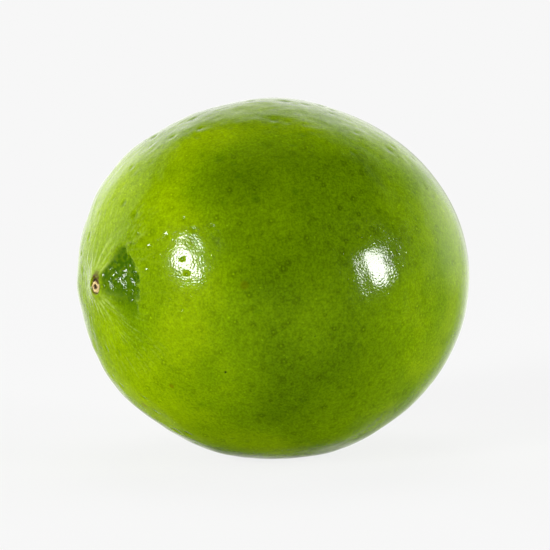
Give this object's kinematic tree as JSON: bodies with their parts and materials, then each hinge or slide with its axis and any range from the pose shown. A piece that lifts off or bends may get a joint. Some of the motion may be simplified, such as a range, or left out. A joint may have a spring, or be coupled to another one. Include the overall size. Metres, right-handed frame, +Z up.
{
  "type": "lime",
  "caption": "Whole fresh lime lying on its side on a small flat of its peel, with the dried button of its stem.",
  "frame": {"origin": "bottom centre of the lime's box, on the plane that it rests on", "axes": "+X along the stem axis from the stem end to the blossom end, +Z up, the lime lying on its side"},
  "size_m": [0.0646, 0.0554, 0.0547],
  "materials": {
    "peel": "waxy glossy green lime peel with oil glands, yellower on the flanks",
    "stem_wood": "dry matt tan and dark brown wood of a broken stem"
  },
  "bodies": {
    "root": {"fruit": "peel", "stem_button": "stem_wood"}
  },
  "joints": []
}
